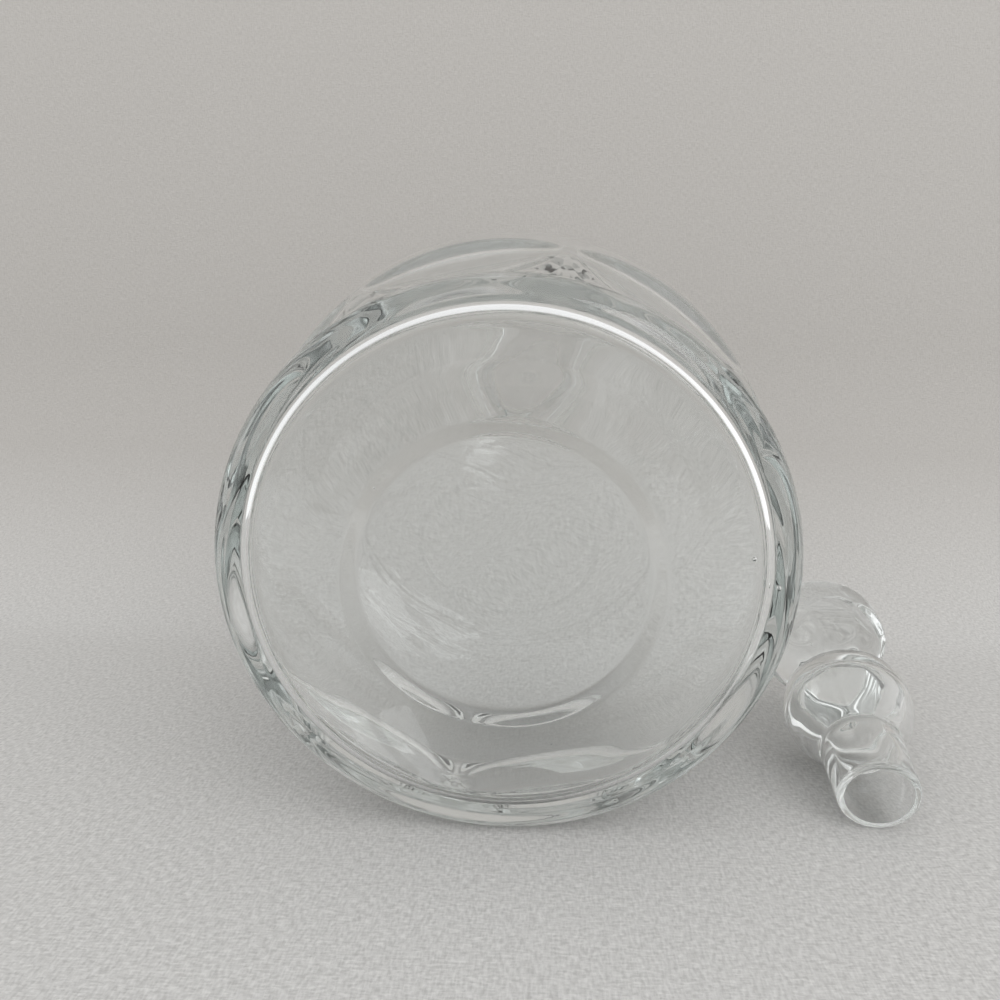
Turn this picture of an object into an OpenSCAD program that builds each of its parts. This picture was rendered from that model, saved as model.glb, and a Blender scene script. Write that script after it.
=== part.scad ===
// Broad clear-glass decanter with a hollow glass stopper.
// Each piece is drawn standing, along its own axis, and then laid down on a level surface as it rests:
// the decanter on its foot and its side with its mouth towards +Y, and the stopper, taken out, beside it.
// The origin is the centre of the foot, in the plane that the decanter stands on. +Z is up. Sizes in mm.

/* [Foot] */
// Diameter of the foot across its bead
foot_d = 140; // [120:1:150]
// Radius of the rounded bead round the foot
bead_r = 7; // [4:0.5:9]
// Width of the flat ring that the decanter stands on
bearing_w = 12; // [4:1:18]
// Diameter of the disc sunk into the underside
disc_d = 70; // [40:1:80]
// Depth of the sunk disc at its edge
disc_depth = 2.8; // [1.4:0.2:4.4]
// Width of the sloping step round the sunk disc
disc_step_w = 3.4; // [1:0.2:5]
// Rise of the underside from the flat ring to the step
under_rise = 0.8; // [0.2:0.1:1.2]

/* [Body] */
// Diameter of the body at its widest level
body_d = 158; // [150:1:180]
// Height of the widest level above the foot plane
widest_h = 88; // [76:1:96]
// Diameter of the body at its lower end, above the groove over the bead
low_d = 138; // [134:1:140]
// Height of the body's lower end above the foot plane
low_h = 17; // [15:1:24]
// Width across opposite side panels at their lower ends
panel_foot_w = 135; // [133:0.5:137]
// Width across opposite side panels where their arched tops begin
panel_top_w = 139; // [136:0.5:144]
// Height at which the arched tops of the side panels begin
panel_h = 45; // [36:1:56]
// Radius with which a side panel runs out at its top
panel_out_r = 18; // [10:1:30]
// Glass of the wall, level, from the lower end to the widest level
wall = 4.5; // [2.5:0.5:5.5]
// Glass under the lowest part of the floor inside
base_t = 5; // [4.5:0.5:10]
// Height of the dome of the floor inside
dome_h = 16.5; // [2:0.5:20]
// Width of the rounding between the floor and the wall inside
floor_round = 4.5; // [2:0.5:8]

/* [Neck] */
// Height of the decanter from foot to lip
height = 182; // [176:1:210]
// Height at which the shoulder has turned up into the neck
neck_h = 152; // [144:1:156]
// Diameter of the neck at its root
neck_d = 32; // [30:0.5:40]
// Depth of the flat neck panels below the ridges, under the lip
flute_depth = 1.2; // [0.5:0.1:1.6]
// Diameter of the lip
lip_d = 36; // [34.5:0.5:48]
// Radius of the rounded edge of the lip
lip_r = 2.25; // [1.5:0.25:2.75]
// Depth of the flared mouth above the bore
mouth_depth = 4.5; // [2:0.5:6]
// Depth of the bore's lower end below the root of the neck
throat_drop = 2; // [0:0.5:5]

/* [Stopper] */
// Diameter of the plug where it meets the bowl
plug_d = 22.2; // [20.8:0.2:24]
// Diameter of the plug at its open end
plug_end_d = 20.8; // [18:0.2:22.2]
// Length of the plug
plug_len = 21.5; // [14:0.5:24]
// Depth of the ring groove round the top of the plug
groove_depth = 0.6; // [0.2:0.1:1]
// Glass round the hollow of the plug
plug_wall = 1.8; // [1.2:0.2:3.2]
// Diameter of the bowl at its widest
bowl_d = 36; // [33:0.2:44]
// Height of the bowl above the plug
bowl_h = 22.5; // [18:0.5:28]
// Glass round the hollow of the bowl
bowl_wall = 2.2; // [1.6:0.2:3.4]
// Diameter of the knob at its foot
knob_foot_d = 25; // [18:0.5:28]
// Diameter of the knob at its widest
knob_d = 40; // [34:0.5:44]
// Length of the knob above the bowl
knob_h = 54; // [46:0.5:60]
// Width across opposite knob panels at their lower ends
knob_panel_foot_w = 22; // [20:0.2:24.4]
// Width across opposite knob panels where their arched tops begin
knob_panel_w = 31.2; // [28:0.2:33]
// Height above the bowl at which the arched tops of the knob panels begin
knob_arch_h = 22; // [16:0.5:26]
// Radius with which a knob panel runs out at its top
knob_out_r = 8; // [5:0.5:12]

/* [Fit and place] */
// Clearance between the plug and the bore of the neck, all round
plug_clearance = 0.15; // [0.05:0.05:0.4]
// Turn of the lying decanter about its own axis
decanter_turn = -11; // [-22:1:22]
// Clear width between the decanter's widest level and the bowl of the stopper beside it
stopper_gap = 3.2; // [1:0.2:40]
// Distance of the stopper's bowl behind the foot
stopper_y = 52; // [0:1:100]
// Turn of the lying stopper away from the decanter's direction
stopper_turn = -6; // [-20:1:4]

/* [Hidden] */
$fn = 96;

// Flat panels round the body, the neck and the knob
sides = 8;
// Points along a round stretch of an outline
steps = 10;
// Overlap of a cutter past the face that it cuts
over = 1;
// Widening of the mouth and of the bowl's seat, for each mm of height
seat_slope = 0.65;
// Part of the bowl that is the straight seat in the mouth
seat_part = 0.27;
// Rounding of the stopper's rims
rim_r = 1;

foot_r = foot_d / 2;
plug_r = plug_d / 2;
plug_end_r = plug_end_d / 2;
bowl_r = bowl_d / 2;
knob_r = knob_d / 2;
bore_r = plug_r + plug_clearance;
mouth_z = height - mouth_depth;
bore_z = neck_h - throat_drop;
rim_z = plug_len + bowl_h;
knob_z = rim_z + rim_r;
bowl_z = rim_z - bowl_h * 0.3;

// Points of a circular arc in an outline, from angle a0 to angle a1
function arc(centre, r, a0, a1) =
    [for (i = [0 : steps]) let (a = a0 + (a1 - a0) * i / steps) centre + r * [cos(a), sin(a)]];

// Points of a smooth curve from a to d that leaves towards b and arrives from c
function curve(a, b, c, d) =
    [for (i = [0 : steps]) let (t = i / steps, s = 1 - t)
        s * s * s * a + 3 * t * s * s * b + 3 * t * t * s * c + t * t * t * d];

// Angle at which a piece leans when it lies on its side and on the round edge of its end (centre c, radius r)
function lean(outline, c, r) =
    max([for (p = outline) let (d = p - c) if (d[1] > 2 * r) atan2(d[0], d[1]) - asin(r / norm(d))]);

// Height of that end's middle above the surface, at lean t
function lift(c, r, t) = c[0] * cos(t) - c[1] * sin(t) + r;

// Key points of the decanter's outside, as [radius, height]
bead_c = [foot_r - bead_r, bead_r];
bead_top = 40;
bead_end = bead_c + bead_r * [cos(bead_top), sin(bead_top)];
low = [low_d / 2, low_h];
widest = [body_d / 2, widest_h];
neck_root = [neck_d / 2, neck_h];
lip_c = [lip_d / 2 - lip_r, height - lip_r];
lip_low = -70;
lip_root = lip_c + lip_r * [cos(lip_low), sin(lip_low)];
body_up = (widest_h - low_h) * 0.38;
body_out = [2.5, 9];
groove_in = [-0.8, 1];
shoulder_up = (neck_h - widest_h) * 0.76;
neck_up = (lip_root[1] - neck_h) * 0.33;
heel_r = foot_r - bead_r;
step_r = disc_d / 2 + disc_step_w;

decanter_outline = concat(
    [[0, disc_depth], [disc_d / 2, disc_depth], [step_r, under_rise], [heel_r - bearing_w, 0]],
    arc(bead_c, bead_r, -90, bead_top),
    curve(bead_end, bead_end + groove_in, low - [0, 1.6], low),
    curve(low, low + body_out, widest - [0, body_up], widest),
    curve(widest, widest + [0, shoulder_up], neck_root - [0, shoulder_up * 0.54], neck_root),
    curve(neck_root, neck_root + [0, neck_up], lip_root - [1.5, neck_up], lip_root),
    [[0, lip_root[1]]]);

lip_outline = concat(
    [[0, lip_root[1]]],
    arc(lip_c, lip_r, lip_low, 90),
    [[0, height]]);

decanter_lean = lean(concat(decanter_outline, lip_outline), bead_c, bead_r);
surface_z = -lift(bead_c, bead_r, decanter_lean);

// Key points of the space inside
mouth_r = bore_r + mouth_depth * seat_slope;
inner_low = low - [wall, 0];
inner_widest = widest - [wall, 0];
throat = [bore_r, bore_z];
corner_r = inner_low[0] - floor_round;
dome_r = (corner_r * corner_r + dome_h * dome_h) / (2 * dome_h);
dome_c = [0, base_t + dome_h - dome_r];
dome_end = 90 - asin(corner_r / dome_r);
floor_edge = [corner_r, base_t];
corner_up = (inner_low[1] - base_t) * 0.8;

cavity_outline = concat(
    arc(dome_c, dome_r, 90, dome_end),
    curve(floor_edge, floor_edge + [floor_round * 0.55, 0], inner_low - [0, corner_up], inner_low),
    curve(inner_low, inner_low + body_out, inner_widest - [0, body_up], inner_widest),
    curve(inner_widest, inner_widest + [0, shoulder_up - wall], throat - [0, shoulder_up * 0.45], throat),
    [[bore_r, mouth_z], [mouth_r + over * seat_slope, height + over], [0, height + over]]);

// Key points of the stopper's outside
end_c = [plug_end_r - rim_r, rim_r];
groove_w = plug_len * 0.13;
groove_r = plug_r - groove_depth;
seat_h = bowl_h * seat_part;
seat_top = [plug_r + seat_h * seat_slope, plug_len + seat_h];
seat_on = [seat_slope, 1] * bowl_h * 0.1;
bowl_widest = [bowl_r, bowl_z];
bowl_rim = [bowl_r - rim_r, rim_z];
knob_foot = [knob_foot_d / 2, knob_z];
knob_root_z = rim_z - rim_r * 4;
knob_widest = [knob_r, rim_z + knob_h - knob_r];
knob_up = (knob_widest[1] - knob_z) * 0.4;

stopper_outline = concat(
    [[0, 0]],
    arc(end_c, rim_r, -90, 0),
    [[plug_r, plug_len - groove_w], [groove_r, plug_len - groove_w * 0.7]],
    [[groove_r, plug_len - groove_w * 0.3], [plug_r, plug_len]],
    curve(seat_top, seat_top + seat_on, bowl_widest - [0, bowl_h * 0.17], bowl_widest),
    curve(bowl_widest, bowl_widest + [0, bowl_h * 0.12], bowl_rim + [rim_r * 0.6, -2 * rim_r], bowl_rim),
    [knob_foot, [0, knob_z]]);

knob_outline = concat(
    [[0, knob_root_z], [knob_foot_d / 2, knob_root_z]],
    curve(knob_foot, knob_foot + [0, knob_up], knob_widest - [0, knob_up], knob_widest),
    arc([0, knob_widest[1]], knob_r, 0, 90));

stopper_lean = lean(stopper_outline, end_c, rim_r);

// The hollow, open at the end of the plug and wide in the bowl
hollow_low = [plug_end_r - plug_wall, plug_len - groove_w];
hollow_widest = bowl_widest - [bowl_wall, 0];
hollow_top = rim_z - bowl_wall;
hollow_up = (hollow_widest[1] - hollow_low[1]) * 0.3;
hollow_over = (hollow_top - hollow_widest[1]) * 0.7;
hollow_outline = concat(
    [[0, -over], [hollow_low[0], -over]],
    curve(hollow_low, hollow_low + [0, hollow_up], hollow_widest - [0, hollow_up], hollow_widest),
    curve(hollow_widest, hollow_widest + [0, hollow_over],
        [hollow_widest[0] * 0.55, hollow_top], [0, hollow_top]));

// Bars with the given half section, one across the axis for each pair of opposite panels
module panel_bars(half_section) {
    far_half = [for (i = [len(half_section) - 1 : -1 : 0]) [-half_section[i][0], half_section[i][1]]];
    intersection_for (i = [0 : sides / 2 - 1])
        rotate(i * 360 / sides)
            rotate([90, 0, 0])
                linear_extrude(height = 2 * max(body_d, foot_d), center = true)
                    polygon(concat(half_section, far_half));
}

// Half section of a pair of opposite side panels, set in towards the axis by inset
bar_r = max(foot_d, body_d) / 2 + over;
function side_panel(inset) = concat(
    [[bar_r, -over], [bar_r, low_h - 8], [panel_foot_w / 2 - inset, low_h + 4]],
    arc([panel_top_w / 2 - inset + panel_out_r, panel_h], panel_out_r, 180, 100),
    [[bar_r, panel_h + panel_out_r]]);

// Space that the flat panels leave to the decanter
module decanter_panels() {
    flute_r = lip_root[0] - flute_depth;
    panel_bars(concat(
        side_panel(0),
        [[bar_r, neck_h - over], [neck_d / 2 + flute_depth * 0.2, neck_h]],
        [[flute_r, lip_root[1]], [flute_r, height]]));
}

// The space inside, flat behind the side panels
module cavity() {
    intersection() {
        rotate_extrude() polygon(cavity_outline);
        panel_bars(concat(side_panel(wall), [[bar_r, height + 2 * over]]));
    }
}

// Space that the flat panels leave to the knob
module knob_panels() {
    arch_z = rim_z + knob_arch_h;
    foot_half = knob_panel_foot_w / 2;
    top_half = knob_panel_w / 2;
    full = knob_r + over;
    panel_bars(concat(
        [[foot_half, knob_root_z - over], [foot_half, knob_z]],
        arc([top_half + knob_out_r, arch_z], knob_out_r, 180, 100),
        [[full, arch_z + knob_out_r], [full, rim_z + knob_h + over]]));
}

module decanter_standing() {
    difference() {
        union() {
            intersection() {
                rotate_extrude() polygon(decanter_outline);
                decanter_panels();
            }
            rotate_extrude() polygon(lip_outline);
        }
        cavity();
    }
}

module stopper_standing() {
    difference() {
        union() {
            rotate_extrude() polygon(stopper_outline);
            intersection() {
                rotate_extrude() polygon(knob_outline);
                knob_panels();
            }
        }
        rotate_extrude() polygon(hollow_outline);
    }
}

// The vessel, lying on the bead of its foot and on its side
module decanter() {
    color([0.86, 0.91, 0.89, 0.45])
        rotate([decanter_lean - 90, 0, 0])
            rotate([0, 0, decanter_turn])
                decanter_standing();
}

// The stopper, lying on the end of its plug and on its bowl
module stopper() {
    color([0.84, 0.90, 0.88, 0.5])
        translate([
            body_d / 2 + stopper_gap + bowl_r,
            stopper_y,
            surface_z + lift(end_c, rim_r, stopper_lean)])
            rotate([0, 0, stopper_turn])
                translate([0, -bowl_z * cos(stopper_lean), 0])
                    rotate([stopper_lean - 90, 0, 0])
                        stopper_standing();
}

decanter();
stopper();
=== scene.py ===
import math

import bpy
import numpy as np
from mathutils import Matrix, Vector


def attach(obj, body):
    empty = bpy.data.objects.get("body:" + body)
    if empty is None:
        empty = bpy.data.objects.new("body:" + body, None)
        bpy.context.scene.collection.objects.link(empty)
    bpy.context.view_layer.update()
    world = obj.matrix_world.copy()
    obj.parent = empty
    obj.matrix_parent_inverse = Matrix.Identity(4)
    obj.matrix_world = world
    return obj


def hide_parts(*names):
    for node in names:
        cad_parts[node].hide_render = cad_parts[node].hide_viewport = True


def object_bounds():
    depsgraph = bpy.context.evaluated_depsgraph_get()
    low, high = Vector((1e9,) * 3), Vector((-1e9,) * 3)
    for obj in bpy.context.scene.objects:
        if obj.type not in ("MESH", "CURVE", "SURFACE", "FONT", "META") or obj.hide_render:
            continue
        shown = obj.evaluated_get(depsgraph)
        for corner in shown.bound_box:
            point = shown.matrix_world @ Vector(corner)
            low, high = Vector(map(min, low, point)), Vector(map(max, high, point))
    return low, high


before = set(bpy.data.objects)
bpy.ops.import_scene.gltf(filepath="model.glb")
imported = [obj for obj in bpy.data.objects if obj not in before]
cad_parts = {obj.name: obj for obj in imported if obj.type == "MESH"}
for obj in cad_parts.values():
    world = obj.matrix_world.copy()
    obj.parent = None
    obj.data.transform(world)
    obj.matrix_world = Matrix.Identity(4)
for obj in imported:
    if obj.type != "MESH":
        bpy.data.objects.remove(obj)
CAD_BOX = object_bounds()

# Placement of the pieces, as in the CAD source (degrees and mm)
LEAN = 7.452
TURN = -11.0
STOPPER_LEAN = 12.370
STOPPER_TURN = -6.0
STOPPER_AT = (100.2, 52.0)
SURFACE_Z = -68.560
SIDES = 8
MM_PER_M = 1000


def bezier(a, b, c, d, n=24):
    t = np.linspace(0, 1, n)[:, None]
    a, b, c, d = (np.array(p, float) for p in (a, b, c, d))
    return a * (1 - t) ** 3 + 3 * b * t * (1 - t) ** 2 + 3 * c * t**2 * (1 - t) + d * t**3


def arc(c, r, a0, a1, n=24):
    a = np.radians(np.linspace(a0, a1, n))
    return np.c_[c[0] + r * np.cos(a), c[1] + r * np.sin(a)]


def along(p):
    """Length along a polyline, at each of its points."""
    return np.r_[0, np.cumsum(np.linalg.norm(np.diff(p, axis=0), axis=1))]


def even(p, step):
    """The polyline with points at even steps."""
    keep = np.r_[True, np.linalg.norm(np.diff(p, axis=0), axis=1) > 1e-6]
    p = p[keep]
    s = along(p)
    t = np.linspace(0, s[-1], int(round(s[-1] / step)) + 1)
    return np.c_[np.interp(t, s, p[:, 0]), np.interp(t, s, p[:, 1])]


def softened(p, sigma, step=0.1):
    """Rounds the corners of an outline that starts and ends on the axis, as fire-polished glass has them."""
    p = even(p, step)
    n = int(4 * sigma / step)
    k = np.exp(-0.5 * (np.arange(-n, n + 1) * step / sigma) ** 2)
    k /= k.sum()
    flip = np.array([-1, 1])
    q = np.vstack([p[n:0:-1] * flip, p, p[-2 : -n - 2 : -1] * flip])
    out = np.c_[np.convolve(q[:, 0], k, "valid"), np.convolve(q[:, 1], k, "valid")]
    out[0, 0] = out[-1, 0] = 0
    return out


def by_bend(p, fine, coarse, turn=0.05, window=11):
    """Fewer points along an outline where it is nearly straight, and each one's share of the length."""
    d = np.gradient(p, axis=0)
    a = np.unwrap(np.arctan2(d[:, 1], d[:, 0]))
    s = along(p)
    bend = np.abs(np.gradient(a, s))
    bend = np.convolve(np.pad(bend, window // 2, mode="edge"), np.ones(window) / window, "valid")
    h = np.clip(turn / np.maximum(bend, 1e-6), fine, coarse)
    m = np.r_[0, np.cumsum(0.5 * (1 / h[1:] + 1 / h[:-1]) * np.diff(s))]
    t = np.interp(np.linspace(0, m[-1], int(m[-1]) + 2), m, s)
    return np.c_[np.interp(t, s, p[:, 0]), np.interp(t, s, p[:, 1])], t / s[-1]


def ease(x, start, end):
    """0 on the start's side, 1 past the end, and even between them."""
    return np.clip((x - start) / (end - start), 0, 1)


def smin(a, b, k):
    """Smaller of two lengths, with the corner between them rounded over k."""
    h = np.maximum(k - np.abs(a - b), 0) / k
    return np.minimum(a, b) - h * h * k / 4


def panel_angles(per_panel, pull=0.7):
    """Angles round the axis, closer together at the ridges between panels."""
    u = (np.arange(SIDES * per_panel) / per_panel) % 1
    i = np.arange(SIDES * per_panel) // per_panel
    w = u - pull * np.sin(2 * np.pi * u) / (2 * np.pi)
    return 2 * np.pi * (i + w - 0.5) / SIDES


def octagon(apothem, theta, k):
    """Distance from the axis to the flat panels, with the ridges rounded over k."""
    step = 2 * np.pi / SIDES
    off = (theta + step / 2) % step - step / 2
    near = apothem / np.cos(off)
    side = np.where(off >= 0, 1, -1) * step
    # The next panel's plane, kept from running off too far
    far = apothem / np.maximum(np.cos(off - side), 0.2)
    return smin(near, far, k)


def arched(z, apothem, top, radius):
    """The panels' distance from the axis, which above their top grows along an arc of the given radius."""
    # Just short of a quarter turn, where the arc would run straight out
    rise = np.clip((z - top) / radius, 0, 0.99)
    return apothem + radius * (1 - np.sqrt(1 - rise**2))


def waves(theta, z, terms):
    """Slow waves round the axis, each given by height, number of crests, twist along the axis and phase."""
    return sum(high * np.sin(crests * theta + twist * z + phase) for high, crests, twist, phase in terms)


def ring_points(radius, theta, z):
    """Points at the given distances from the axis, as one ring for each height."""
    z = np.broadcast_to(z, radius.shape)
    return np.stack([radius * np.cos(theta), radius * np.sin(theta), z], axis=-1)


def closed_mesh(name, rings, poles, place, shells):
    """One closed surface of rings of points between two end points, with smaller shells, put in its place."""
    n, m = rings.shape[1], rings.shape[0]
    verts = np.vstack([rings.reshape(-1, 3), poles])
    j = np.arange(m - 1)[:, None] * n
    i = np.arange(n)[None, :]
    k = (i + 1) % n
    quads = np.stack([j + i, j + k, j + n + k, j + n + i], axis=-1).reshape(-1, 4).tolist()
    first, last = m * n, m * n + 1
    tris = [(first, (a + 1) % n, a) for a in range(n)]
    base = (m - 1) * n
    tris += [(last, base + a, base + (a + 1) % n) for a in range(n)]
    faces = quads + tris
    for v, f in shells:
        faces += [tuple(x + len(verts) for x in face) for face in f]
        verts = np.vstack([verts, v])
    mesh = bpy.data.meshes.new(name)
    mesh.from_pydata((verts / MM_PER_M).tolist(), [], faces)
    mesh.transform(place)
    mesh.polygons.foreach_set("use_smooth", [True] * len(mesh.polygons))
    mesh.update()
    ob = bpy.data.objects.new(name, mesh)
    bpy.context.collection.objects.link(ob)
    return ob


def seed(centre, size, n=10):
    """A bubble in the glass: a small closed shell that faces inwards."""
    v = [(0, 0, 1)]
    for a in range(1, n):
        for b in range(2 * n):
            t, f = math.pi * a / n, math.pi * b / n
            v.append((math.sin(t) * math.cos(f), math.sin(t) * math.sin(f), math.cos(t)))
    v.append((0, 0, -1))
    w = 2 * n
    f = [(0, 1 + (b + 1) % w, 1 + b) for b in range(w)]
    for a in range(n - 2):
        for b in range(w):
            p, q = 1 + a * w + b, 1 + a * w + (b + 1) % w
            f.append((p, q, q + w, p + w))
    last = len(v) - 1
    f += [(last, 1 + (n - 2) * w + b, 1 + (n - 2) * w + (b + 1) % w) for b in range(w)]
    return np.array(v) * np.array(size) + np.array(centre), f


# The decanter, standing, as one outline from the underside's middle over the lip to the floor inside (mm).
# A pair is a distance from the axis and a height.
LOW = np.array((69, 17))
WIDEST = np.array((79, 88))
NECK = np.array((16, 152))
DISC_R, DISC_DEPTH, DISC_MID_DEPTH = 35, 2.8, 2.7
STEP_R, STEP_DEPTH, RING_R = 38.4, 0.8, 51
BEAD, BEAD_R, BEAD_END_DEG = (63, 7), 7, 40
LIP, LIP_R, LIP_ROOT_DEG = (15.75, 179.75), 2.25, -70
MOUTH_R, BORE_R, MOUTH_Z, THROAT_Z, HEIGHT = 14.175, 11.25, 177.5, 150.0, 182.0
CORNER_R, BASE_T, DOME_H, WALL = 60.0, 5.0, 16.5, 4.5
DOME_R = (CORNER_R**2 + DOME_H**2) / (2 * DOME_H)
DOME_END_DEG = 90 - math.degrees(math.asin(CORNER_R / DOME_R))
# How far the curves' handles reach from the points above
BEAD_REACH, LIP_REACH, LOW_REACH = (-0.8, 1), (-1.5, -8.5), (2.5, 9)
LOW_DOWN, LOW_DOWN_IN, CORNER_OUT = 1.6, 9.6, 2.5
WIDEST_DOWN, WIDEST_UP, WIDEST_UP_IN = 27, 48.6, 44.1
NECK_DOWN, NECK_UP, THROAT_DOWN = 26.3, 8.5, 21.9
bead_end = arc(BEAD, BEAD_R, BEAD_END_DEG, BEAD_END_DEG, 1)[0]
lip_root = arc(LIP, LIP_R, LIP_ROOT_DEG, LIP_ROOT_DEG, 1)[0]
low_in = LOW - (WALL, 0)
widest_in = WIDEST - (WALL, 0)
throat = np.array((BORE_R, THROAT_Z))
under = np.vstack([
    [(0, DISC_MID_DEPTH), (DISC_R, DISC_DEPTH), (STEP_R, STEP_DEPTH), (RING_R, 0)],
    arc(BEAD, BEAD_R, -90, BEAD_END_DEG, n=40),
    bezier(bead_end, bead_end + BEAD_REACH, LOW - (0, LOW_DOWN), LOW),
])
outside = np.vstack([
    bezier(LOW, LOW + LOW_REACH, WIDEST - (0, WIDEST_DOWN), WIDEST, n=60),
    bezier(WIDEST, WIDEST + (0, WIDEST_UP), NECK - (0, NECK_DOWN), NECK, n=60),
    bezier(NECK, NECK + (0, NECK_UP), lip_root + LIP_REACH, lip_root),
    arc(LIP, LIP_R, LIP_ROOT_DEG, 90),
])
inside = np.vstack([
    [(MOUTH_R, HEIGHT), (BORE_R, MOUTH_Z)],
    bezier(throat, throat - (0, THROAT_DOWN), widest_in + (0, WIDEST_UP_IN), widest_in, n=60),
    bezier(widest_in, widest_in - (0, WIDEST_DOWN), low_in + LOW_REACH, low_in, n=60),
    bezier(low_in, low_in - (0, LOW_DOWN_IN), (CORNER_R + CORNER_OUT, BASE_T), (CORNER_R, BASE_T)),
    arc((0, BASE_T + DOME_H - DOME_R), DOME_R, DOME_END_DEG, 90, n=60),
])
whole = np.vstack([under, outside, inside])
turn_in = along(np.vstack([under, outside]))[-1] / along(whole)[-1]
outline, share = by_bend(softened(whole, sigma=0.45), fine=0.3, coarse=1.6)
theta = panel_angles(per_panel=44)
r = outline[1:-1, 0][:, None]
z = outline[1:-1, 1][:, None]
out = (share[1:-1] < turn_in)[:, None]

# Panels round the lower body: the end that runs out at the heel, the lowest and the highest level of the flat
PANEL = np.array(((80, 9), (67.5, 21), (69.5, 45)))
PANEL_ARCH_R, PANEL_FROM_Z = 18, 12
RIDGE, EDGE, EDGE_SOFT = 0.5, 0.5, 2.5
EDGE_SOFT_FROM, EDGE_SOFT_TO = 26, 18
panel_low_r, panel_low_z = PANEL[1]
panel = arched(z, np.interp(z, PANEL[:, 1], PANEL[:, 0]), PANEL[2, 1], PANEL_ARCH_R)
# Flutes round the neck, which come in at its root and move clear of the glass at the lip's root
FLUTE_FROM, FLUTE_FULL, FLUTE_ROOT_R, FLUTE_DEPTH = 151, 152, 16.24, 1.2
FLUTE_END_FROM, FLUTE_END_TO = -0.4, 0.8
CLEAR, FAR_OUT_R, WELL_IN_R = 8, 90, 10
up_neck = (z - NECK[1]) / (lip_root[1] - NECK[1])
flute = FLUTE_ROOT_R + (lip_root[0] - FLUTE_DEPTH - FLUTE_ROOT_R) * up_neck
flute = np.maximum(flute, FAR_OUT_R - (FAR_OUT_R - WELL_IN_R) * ease(z, FLUTE_FROM, FLUTE_FULL))
flat = np.where(z > FLUTE_FROM, flute, panel)
flat = flat + CLEAR * ease(z, lip_root[1] + FLUTE_END_FROM, lip_root[1] + FLUTE_END_TO) ** 2
edge = EDGE + EDGE_SOFT * ease(z, EDGE_SOFT_FROM, EDGE_SOFT_TO)
sized = np.where(out & (z > PANEL_FROM_Z), smin(r, octagon(flat, theta, RIDGE), edge), r)

# The inside follows the panels softly and, as it was blown, waves a little.
# From the first to the second level of each pair below, the waves grow from none to full.
RIDGE_IN, EDGE_IN, PANEL_FADE = 5, 3, 11
WAVES = ((0.05, 3, 0.045, 0.4), (0.03, 5, -0.09, 2.1))
WAVE_FROM, WAVE_TO = (50, 70), (120, 104)
fading = panel_low_r + CLEAR * ease(z, panel_low_z, panel_low_z - PANEL_FADE) ** 2
inner = np.where(z > panel_low_z, panel, fading)
soft = smin(r, octagon(inner - WALL, theta, RIDGE_IN), EDGE_IN)
sized = np.where(out | (z > WIDEST[1]), sized, soft)
free = ease(z, *WAVE_FROM) * ease(z, *WAVE_TO)
sized = np.where(out, sized, sized + waves(theta, z, WAVES) * free)

# The floor's dome waves too, up to its rim
SAG, SAG_TURN, SAG_PHASE = 0.16, (0.09, 0.11), (0.7, 0.4)
SAG_SMALL, SAG_SMALL_TURN, SAG_RIM, FLOOR_ROOM = 0.07, (0.12, 0.23), 14, 1
x = sized * np.cos(theta)
y = sized * np.sin(theta)
sag = SAG * np.sin(SAG_TURN[0] * x + SAG_PHASE[0]) * np.cos(SAG_TURN[1] * y + SAG_PHASE[1])
sag = sag + SAG_SMALL * np.sin(SAG_SMALL_TURN[1] * y + SAG_SMALL_TURN[0] * x)
on_floor = ~out & (z < BASE_T + DOME_H + FLOOR_ROOM) & (r < CORNER_R)
level = np.where(on_floor, sag * ease(sized, CORNER_R, CORNER_R - SAG_RIM), 0)
mid_sag = SAG * math.sin(SAG_PHASE[0]) * math.cos(SAG_PHASE[1])
poles = [(0, 0, outline[0, 1]), (0, 0, outline[-1, 1] + mid_sag)]


def in_base(right, up, depth):
    """A point in the base's glass, by its place as the lying decanter's foot is looked at."""
    a = math.radians(-TURN)
    x, y = right, -up
    return (x * math.cos(a) - y * math.sin(a), x * math.sin(a) + y * math.cos(a), depth)


seeds = [
    seed(in_base(57.6, 6.4, 4.2), (0.55, 0.55, 0.4)),
    seed(in_base(64.0, -1.0, 5.6), (0.5, 0.75, 0.45)),
    seed(in_base(-31.0, 22.0, 7.0), (0.28, 0.28, 0.22)),
    seed(in_base(12.0, -44.0, 4.6), (0.24, 0.24, 0.2)),
]
place = Matrix.Rotation(math.radians(LEAN - 90), 4, "X") @ Matrix.Rotation(math.radians(TURN), 4, "Z")
decanter = closed_mesh("decanter_glass", ring_points(sized, theta, z + level), poles, place, seeds)
decanter_axis = place.to_3x3() @ Vector((0, 0, 1))
decanter_end = Vector((0, 0, 0))

# The stopper, standing, as one outline from the end of the hollow over the plug's rim to the top of the knob
PLUG_END_R, PLUG_ROUND, PLUG_R, PLUG_TOP = 10.4, 1, 11.1, 21.5
GROOVE_R, GROOVE_LOW, GROOVE_FLOOR_LOW, GROOVE_FLOOR_HIGH = 10.5, 18.7, 19.54, 20.66
SEAT_TOP = np.array((15.05, 27.575))
BOWL = np.array((18.0, 37.25))
RIM = np.array((17, 44.0))
KNOB_FOOT = np.array((12.5, 45))
KNOB = np.array((20.0, 78.0))
HOLLOW_R, HOLLOW_WIDE_R, HOLLOW_TOP = 8.6, 15.8, 41.8
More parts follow.
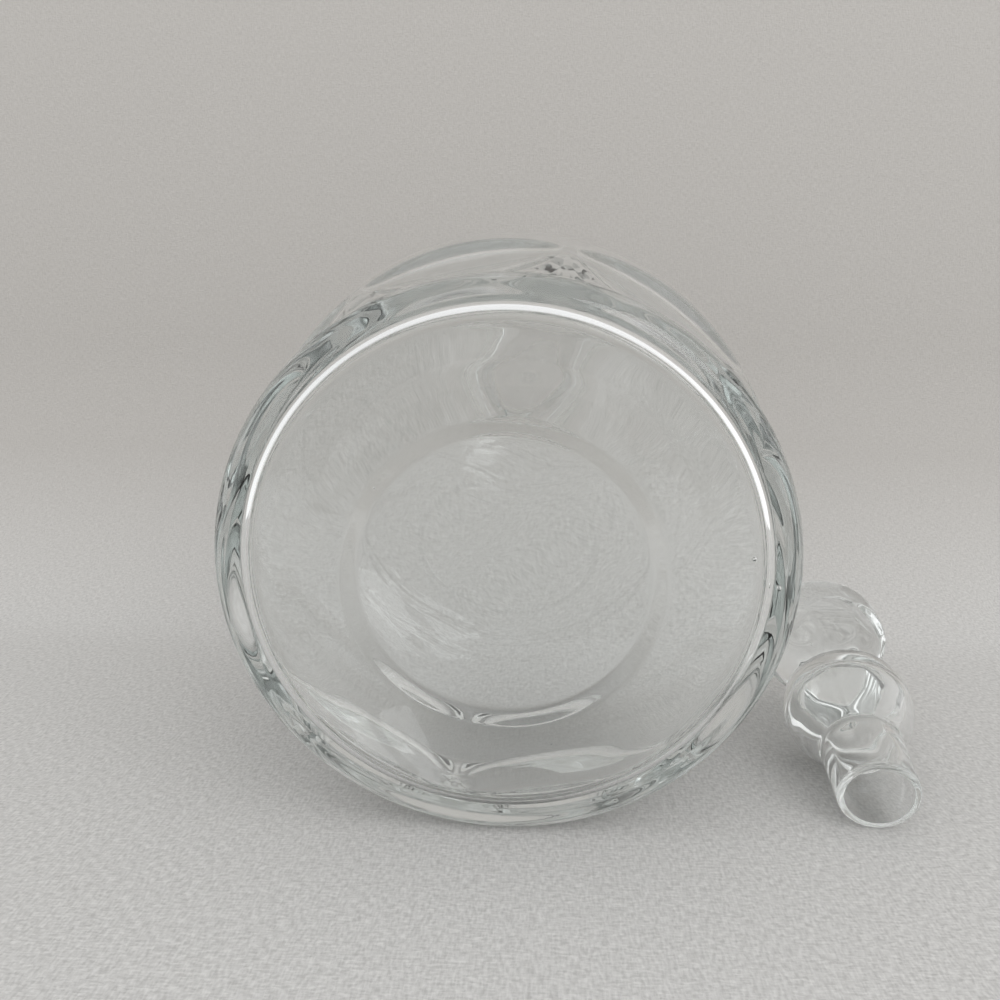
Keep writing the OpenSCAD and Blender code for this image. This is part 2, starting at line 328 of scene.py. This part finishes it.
# How far the curves' handles reach from the points above
SEAT_REACH, BOWL_DOWN, BOWL_UP, RIM_REACH = (1.46, 2.25), 3.825, 2.7, (0.6, -2)
KNOB_FOOT_UP, KNOB_DOWN = 13.2, 13.2
HOLLOW_TOP_OUT, HOLLOW_WIDE_UP, HOLLOW_WIDE_DOWN, HOLLOW_LOW_UP = 8.69, 3.185, 5.56, 5.57
hollow_top = np.array((0, HOLLOW_TOP))
hollow_wide = np.array((HOLLOW_WIDE_R, BOWL[1]))
hollow_low = np.array((HOLLOW_R, GROOVE_LOW))
hollow = np.vstack([
    bezier(hollow_top, hollow_top + (HOLLOW_TOP_OUT, 0), hollow_wide + (0, HOLLOW_WIDE_UP), hollow_wide),
    bezier(hollow_wide, hollow_wide - (0, HOLLOW_WIDE_DOWN), hollow_low + (0, HOLLOW_LOW_UP), hollow_low),
    [(HOLLOW_R, 0)],
])
shell = np.vstack([
    arc((PLUG_END_R - PLUG_ROUND, PLUG_ROUND), PLUG_ROUND, -90, 0, n=8),
    [(PLUG_R, GROOVE_LOW), (GROOVE_R, GROOVE_FLOOR_LOW), (GROOVE_R, GROOVE_FLOOR_HIGH), (PLUG_R, PLUG_TOP)],
    bezier(SEAT_TOP, SEAT_TOP + SEAT_REACH, BOWL - (0, BOWL_DOWN), BOWL, n=30),
    bezier(BOWL, BOWL + (0, BOWL_UP), RIM + RIM_REACH, RIM, n=16),
    bezier(KNOB_FOOT, KNOB_FOOT + (0, KNOB_FOOT_UP), KNOB - (0, KNOB_DOWN), KNOB, n=40),
    arc((0, KNOB[1]), KNOB[0], 0, 90, n=40),
])
whole = np.vstack([hollow, shell])
turn_out = along(hollow)[-1] / along(whole)[-1]
outline, share = by_bend(softened(whole, sigma=0.3), fine=0.22, coarse=0.9)
theta = panel_angles(per_panel=32)
r = outline[1:-1, 0][:, None]
z = outline[1:-1, 1][:, None]
out = (share[1:-1] > turn_out)[:, None]

# Panels round the knob, by their lowest and highest level, and slow waves in the hollow
KNOB_PANEL = np.array(((11.0, 45.0), (15.6, 66.0)))
KNOB_ARCH_R, KNOB_PANEL_FROM_Z, KNOB_RIDGE, KNOB_EDGE = 8.0, 44.4, 0.3, 0.35
RIPPLES = ((0.07, 3, 0.3, 0), (0.05, 4, -0.21, 1))
RIPPLE_FROM, RIPPLE_TO = (0, 6), (HOLLOW_TOP - 6, HOLLOW_TOP - 14)
flat = arched(z, np.interp(z, KNOB_PANEL[:, 1], KNOB_PANEL[:, 0]), KNOB_PANEL[1, 1], KNOB_ARCH_R)
sized = np.where(out & (z > KNOB_PANEL_FROM_Z), smin(r, octagon(flat, theta, KNOB_RIDGE), KNOB_EDGE), r)
free = ease(z, *RIPPLE_FROM) * ease(z, *RIPPLE_TO)
sized = np.where(out, sized, sized + waves(theta, z, RIPPLES) * free)
poles = [(0, 0, outline[0, 1]), (0, 0, outline[-1, 1])]
seeds = [
    seed((5.0, 3.0, 55.0), (0.25, 0.25, 0.35)),
    seed((-4.0, -5.0, 62.0), (0.3, 0.3, 0.5)),
]
lean = math.radians(STOPPER_LEAN)
lift = (PLUG_END_R - PLUG_ROUND) * math.cos(lean) - PLUG_ROUND * math.sin(lean) + PLUG_ROUND
place = (
    Matrix.Translation(Vector((STOPPER_AT[0], STOPPER_AT[1], SURFACE_Z + lift)) / MM_PER_M)
    @ Matrix.Rotation(math.radians(STOPPER_TURN), 4, "Z")
    @ Matrix.Translation(Vector((0, -BOWL[1] * math.cos(lean), 0)) / MM_PER_M)
    @ Matrix.Rotation(lean - math.pi / 2, 4, "X")
)
stopper = closed_mesh("stopper_glass", ring_points(sized, theta, z), poles, place, seeds)
stopper_axis = place.to_3x3() @ Vector((0, 0, 1))
stopper_end = place.translation.copy()


def node(tree, kind, **values):
    """A new node, with the given input values set."""
    made = tree.nodes.new("ShaderNode" + kind)
    for name, value in values.items():
        made.inputs[name.replace("_", " ").title()].default_value = value
    return made


def measure(tree, vector, direction):
    """The length of a vector along a direction."""
    made = tree.nodes.new("ShaderNodeVectorMath")
    made.operation = "DOT_PRODUCT"
    made.inputs[1].default_value = direction
    tree.links.new(vector, made.inputs[0])
    return made.outputs["Value"]


def two_tone(tree, factor, low, high):
    """A colour that runs from the low to the high one with the factor."""
    ramp = tree.nodes.new("ShaderNodeValToRGB")
    ramp.color_ramp.elements[0].color = low
    ramp.color_ramp.elements[1].color = high
    tree.links.new(factor, ramp.inputs["Fac"])
    return ramp.outputs["Color"]


def add_bump(tree, height, bsdf, strength, distance):
    bump = node(tree, "Bump", strength=strength, distance=distance)
    tree.links.new(height, bump.inputs["Height"])
    tree.links.new(bump.outputs["Normal"], bsdf.inputs["Normal"])


def glass(name, axis, end, wear, density, full_wear=0.0005):
    """Clear soda glass: a faint green cast in depth, slow waves in the surface, fine marks near its end."""
    mat = bpy.data.materials.new(name)
    mat.use_nodes = True
    nt = mat.node_tree
    bsdf = nt.nodes["Principled BSDF"]
    bsdf.inputs["Base Color"].default_value = (0.985, 0.993, 0.99, 1)
    bsdf.inputs["Transmission Weight"].default_value = 1
    bsdf.inputs["IOR"].default_value = 1.5
    where = nt.nodes.new("ShaderNodeTexCoord")
    slow = node(nt, "TexNoise", scale=70, detail=1)
    nt.links.new(where.outputs["Object"], slow.inputs["Vector"])
    add_bump(nt, slow.outputs["Fac"], bsdf, strength=0.015, distance=0.0006)
    # Handling marks: fine scuffs, only where the glass is set down
    scuff = node(nt, "TexNoise", scale=900, detail=4)
    nt.links.new(where.outputs["Object"], scuff.inputs["Vector"])
    marks = node(nt, "MapRange", from_min=0.58, from_max=0.8, to_min=0, to_max=0.025)
    nt.links.new(scuff.outputs["Fac"], marks.inputs["Value"])
    foot = axis.dot(end)
    near = node(nt, "MapRange", from_min=foot + full_wear, from_max=foot + wear, to_min=1, to_max=0)
    nt.links.new(measure(nt, where.outputs["Object"], axis), near.inputs["Value"])
    rough = nt.nodes.new("ShaderNodeMath")
    rough.operation = "MULTIPLY"
    nt.links.new(marks.outputs["Result"], rough.inputs[0])
    nt.links.new(near.outputs["Result"], rough.inputs[1])
    nt.links.new(rough.outputs[0], bsdf.inputs["Roughness"])
    depth = node(nt, "VolumeAbsorption", color=(0.56, 0.62, 0.60, 1), density=density)
    nt.links.new(depth.outputs["Volume"], nt.nodes["Material Output"].inputs["Volume"])
    return mat


decanter.data.materials.append(glass("vessel_glass", decanter_axis, decanter_end, wear=0.004, density=4.0))
stopper.data.materials.append(glass("stopper_glass", stopper_axis, stopper_end, wear=0.003, density=3.0))
for ob, body in ((decanter, "decanter"), (stopper, "stopper")):
    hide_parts(body)
    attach(ob, body)

# Stage: one pale cloth that runs from the table up the wall (m)
FLOOR = CAD_BOX[0][2]
TABLE_ROWS, WALL_ROWS, CLOTH_HALF_W = (-0.7, -0.4, -0.3, -0.2, -0.1, 0.0, 0.1), (0.2, 0.8), 0.75
BEND_Y, BEND_R, BEND_STEPS = 0.27, 0.13, 24
path = [(y, FLOOR) for y in TABLE_ROWS]
for i in range(BEND_STEPS + 1):
    a = math.pi / 2 * i / BEND_STEPS
    path.append((BEND_Y - BEND_R + BEND_R * math.sin(a), FLOOR + BEND_R * (1 - math.cos(a))))
path += [(BEND_Y, FLOOR + h) for h in WALL_ROWS]
verts = [(x, y, h) for y, h in path for x in (-CLOTH_HALF_W, CLOTH_HALF_W)]
faces = [(2 * i, 2 * i + 1, 2 * i + 3, 2 * i + 2) for i in range(len(path) - 1)]
mesh = bpy.data.meshes.new("stage")
mesh.from_pydata(verts, [], faces)
mesh.polygons.foreach_set("use_smooth", [True] * len(mesh.polygons))
stage = bpy.data.objects.new("stage", mesh)
bpy.context.collection.objects.link(stage)

cloth = bpy.data.materials.new("pale_cloth")
cloth.use_nodes = True
nt = cloth.node_tree
bsdf = nt.nodes["Principled BSDF"]
bsdf.inputs["Roughness"].default_value = 0.95
bsdf.inputs["Specular IOR Level"].default_value = 0.1
where = nt.nodes.new("ShaderNodeTexCoord")
split = nt.nodes.new("ShaderNodeSeparateXYZ")
nt.links.new(where.outputs["Object"], split.inputs[0])
# Length along the cloth, over the floor and then up the wall
run = nt.nodes.new("ShaderNodeMath")
nt.links.new(split.outputs["Y"], run.inputs[0])
nt.links.new(split.outputs["Z"], run.inputs[1])
# Uneven threads both ways, added up
weave = nt.nodes.new("ShaderNodeMath")
ways = ((split.outputs["X"], run.outputs[0]), (run.outputs[0], split.outputs["X"]))
for i, (across, along_cloth) in enumerate(ways):
    lie = nt.nodes.new("ShaderNodeCombineXYZ")
    nt.links.new(across, lie.inputs["X"])
    nt.links.new(along_cloth, lie.inputs["Y"])
    stretch = node(nt, "Mapping", scale=(1, 0.3, 1))
    nt.links.new(lie.outputs[0], stretch.inputs["Vector"])
    thread = node(nt, "TexNoise", scale=1500, detail=2)
    nt.links.new(stretch.outputs[0], thread.inputs["Vector"])
    nt.links.new(thread.outputs["Fac"], weave.inputs[i])
tone = node(nt, "MapRange", from_min=0.7, from_max=1.3)
nt.links.new(weave.outputs[0], tone.inputs["Value"])
floor_colour = two_tone(nt, tone.outputs["Result"], (0.52, 0.513, 0.50, 1), (0.73, 0.722, 0.706, 1))
# Painted shade: up the wall the cloth's colour is made a little warmer, darker and smoother than on the
# floor, standing in for the dimmer, warmer light that falls on the wall
wall_shade_amount = node(nt, "MapRange", from_min=0.1, from_max=0.26, to_max=0.7)
nt.links.new(run.outputs[0], wall_shade_amount.inputs["Value"])
wall_shade_tint = nt.nodes.new("ShaderNodeMixRGB")
wall_shade_tint.inputs["Color2"].default_value = (0.43, 0.408, 0.382, 1)
nt.links.new(wall_shade_amount.outputs["Result"], wall_shade_tint.inputs["Fac"])
nt.links.new(floor_colour, wall_shade_tint.inputs["Color1"])
nt.links.new(wall_shade_tint.outputs["Color"], bsdf.inputs["Base Color"])
add_bump(nt, weave.outputs[0], bsdf, strength=0.5, distance=0.0003)
stage.data.materials.append(cloth)

# Light: an even soft room, a little dimmer high at the back left, with two window panes at the front right
DIM_SIDE = Vector((-0.35, 0.35, 0.87)).normalized()
ROOM_STRENGTH = 1.18
PANE_SIZE, PANE_POWER, PANE_COLOUR, PANE_Z, PANE_AIM = (0.3, 0.7), 1.3, (0.98, 0.99, 1.0), 0.75, 0.7
world = bpy.data.worlds.new("room")
bpy.context.scene.world = world
world.use_nodes = True
nt = world.node_tree
back = nt.nodes["Background"]
where = nt.nodes.new("ShaderNodeTexCoord")
dim = node(nt, "MapRange", from_min=-0.2, from_max=0.9)
nt.links.new(measure(nt, where.outputs["Generated"], DIM_SIDE), dim.inputs["Value"])
room_colour = two_tone(nt, dim.outputs["Result"], (1.0, 1.0, 1.0, 1), (0.75, 0.752, 0.755, 1))
nt.links.new(room_colour, back.inputs["Color"])
back.inputs["Strength"].default_value = ROOM_STRENGTH
for name, x, y in (("window_near", 0.55, -1.0), ("window_far", 0.85, -0.7)):
    pane = bpy.data.lights.new(name, "AREA")
    pane.shape = "RECTANGLE"
    pane.size, pane.size_y = PANE_SIZE
    pane.energy = PANE_POWER
    pane.color = PANE_COLOUR
    ob = bpy.data.objects.new(name, pane)
    bpy.context.collection.objects.link(ob)
    ob.location = (x, y, PANE_Z)
    aim = Vector((x - PANE_AIM, y + PANE_AIM, 0)) - Vector((x, y, PANE_Z))
    ob.rotation_euler = aim.to_track_quat("-Z", "Y").to_euler()

# Camera, where the photograph was taken from: close, a little above the foot's middle.
# Its angles and its place (m) are given for the decanter with its axis level.
PITCH, YAW, FOCAL, SENSOR = math.radians(16.93), math.radians(-2.95), 0.844, 36
CAMERA_AT = Vector((0.00869, -0.18131, 0.07573))
right = Vector((math.cos(YAW), -math.sin(YAW), 0))
ahead = Vector((math.sin(YAW) * math.cos(PITCH), math.cos(YAW) * math.cos(PITCH), -math.sin(PITCH)))
up = right.cross(ahead)
lean = Matrix.Rotation(math.radians(LEAN), 3, "X")
axes = lean @ Matrix((right, up, -ahead)).transposed()
cam_data = bpy.data.cameras.new("camera")
cam_data.sensor_width = SENSOR
cam_data.lens = SENSOR * FOCAL
cam_data.clip_start = 0.01
camera = bpy.data.objects.new("camera", cam_data)
bpy.context.collection.objects.link(camera)
camera.matrix_world = Matrix.Translation(lean @ CAMERA_AT) @ axes.to_4x4()
bpy.context.scene.camera = camera
bpy.context.scene.view_settings.view_transform = "Standard"
# Thick glass leads light round inside many times before it comes out
paths = bpy.context.scene.cycles
paths.max_bounces = paths.transmission_bounces = paths.glossy_bounces = 32

bpy.context.view_layer.update()
